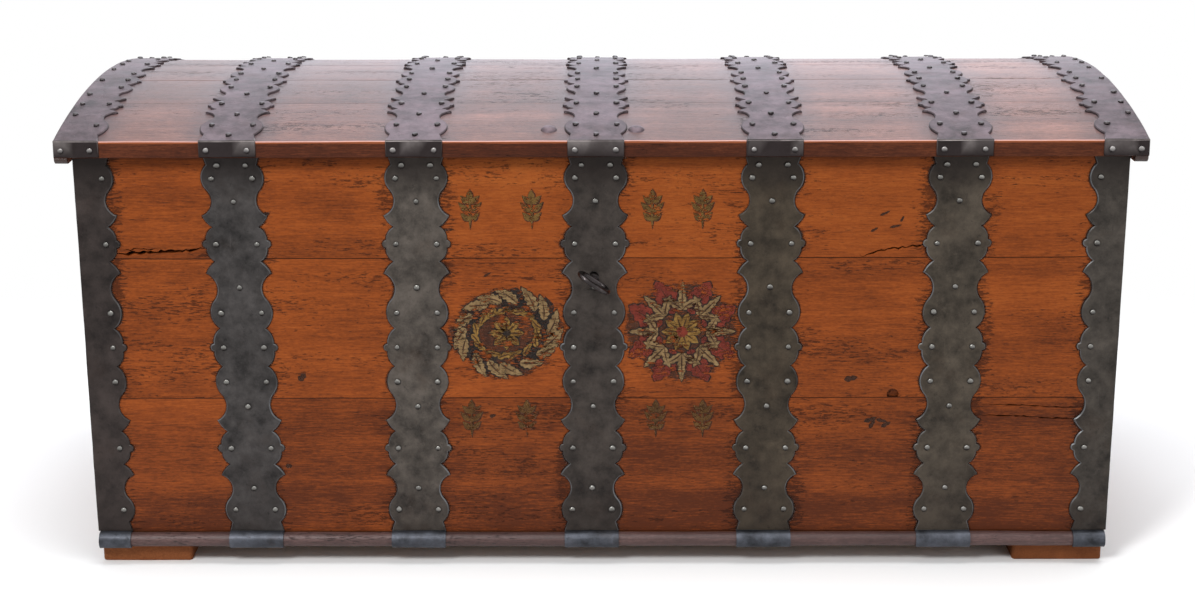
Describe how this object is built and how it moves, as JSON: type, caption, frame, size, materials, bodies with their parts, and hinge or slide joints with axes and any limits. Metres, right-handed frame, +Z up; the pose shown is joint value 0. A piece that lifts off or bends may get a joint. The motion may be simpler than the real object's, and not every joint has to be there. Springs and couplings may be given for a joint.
{
  "type": "storage chest",
  "caption": "Wide iron-bound plank chest with a low arched overhanging lid, scalloped straps, a key lock and drop handles, standing on two runners.",
  "frame": {"origin": "on the floor under the middle of the chest's box, key and hinges included", "axes": "+X along the length to the viewer's right, -Y out of the front, +Z up"},
  "size_m": [1.51, 0.7124, 0.6726],
  "materials": {
    "wall_wood": "oiled and waxed, warm orange brown, horizontal grain",
    "lid_wood": "waxed, red brown, worn bright along the front arris",
    "floor_wood": "bare sawn boards",
    "runner_wood": "plain renewed wood, lightly oiled",
    "moulding_wood": "dark, rounded and rubbed",
    "strap_iron": "hammered forged iron, grey green, edges rubbed bright",
    "lid_iron": "hammered forged iron, violet grey",
    "clip_iron": "rubbed light grey iron",
    "nail_iron": "domed heads rubbed bright on the crown",
    "handle_iron": "dark forged iron, rubbed at the grip",
    "lock_iron": "dark sheet iron",
    "key_steel": "dark steel, polished by handling"
  },
  "bodies": {
    "chest": {"back_and_end_nails": "nail_iron", "back_plank_bottom": "wall_wood", "back_plank_middle": "wall_wood", "back_plank_top": "wall_wood", "base_moulding": "moulding_wood", "corner_strap_back_left": "strap_iron", "corner_strap_back_right": "strap_iron", "corner_strap_front_left": "strap_iron", "corner_strap_front_right": "strap_iron", "floor_board_back": "floor_wood", "floor_board_front": "floor_wood", "floor_board_middle": "floor_wood", "front_nails": "nail_iron", "front_plank_bottom": "wall_wood", "front_plank_middle": "wall_wood", "front_plank_top": "wall_wood", "front_strap_1": "strap_iron", "front_strap_2": "strap_iron", "front_strap_3": "strap_iron", "front_strap_4": "strap_iron", "front_strap_5": "strap_iron", "hinge_pins": "nail_iron", "hinge_strap_left": "strap_iron", "hinge_strap_middle": "strap_iron", "hinge_strap_right": "strap_iron", "left_end_plank_bottom": "wall_wood", "left_end_plank_top": "wall_wood", "left_handle_plate": "handle_iron", "left_runner": "runner_wood", "lock_bolt_guides": "lock_iron", "lock_cover": "lock_iron", "lock_nails": "nail_iron", "lock_plate": "lock_iron", "lock_spring": "lock_iron", "moulding_clips": "clip_iron", "right_end_plank_bottom": "wall_wood", "right_end_plank_top": "wall_wood", "right_handle_plate": "handle_iron", "right_runner": "runner_wood"},
    "lid": {"lid_batten_left": "lid_wood", "lid_batten_right": "lid_wood", "lid_board_1": "lid_wood", "lid_board_2": "lid_wood", "lid_board_3": "lid_wood", "lid_board_4": "lid_wood", "lid_board_5": "lid_wood", "lid_nails": "nail_iron", "lid_strap_1": "lid_iron", "lid_strap_2": "lid_iron", "lid_strap_3": "lid_iron", "lid_strap_4": "lid_iron", "lid_strap_5": "lid_iron", "lid_strap_6": "lid_iron", "lid_strap_7": "lid_iron", "lock_staple": "lock_iron", "staple_bolts": "nail_iron"},
    "key": {"key": "key_steel"},
    "lock_bolt": {"lock_bolt": "lock_iron"},
    "left_handle": {"left_handle": "handle_iron"},
    "right_handle": {"right_handle": "handle_iron"}
  },
  "joints": [
    {"name": "lid_hinge", "type": "hinge", "parent": "chest", "child": "lid", "pos_m": [0, 0.3482, 0.597], "axis": [-1, 0, 0], "range_deg": [0, 100]},
    {"name": "key_turn", "type": "hinge", "parent": "chest", "child": "key", "pos_m": [-0.01, -0.25, 0.431], "axis": [0, 1, 0], "range_deg": [0, 112]},
    {"name": "bolt_slide", "type": "slide", "parent": "chest", "child": "lock_bolt", "axis": [1, 0, 0], "range_m": [0, 0.02487]},
    {"name": "left_handle_swing", "type": "hinge", "parent": "chest", "child": "left_handle", "pos_m": [-0.745, 0.0198, 0.45], "axis": [0, 1, 0], "range_deg": [0, 90]},
    {"name": "right_handle_swing", "type": "hinge", "parent": "chest", "child": "right_handle", "pos_m": [0.745, 0.0198, 0.45], "axis": [0, -1, 0], "range_deg": [0, 90]}
  ],
  "couplings": [
    {"joint": "key_turn", "follows": "bolt_slide", "rad_per_m": 78.596}
  ]
}
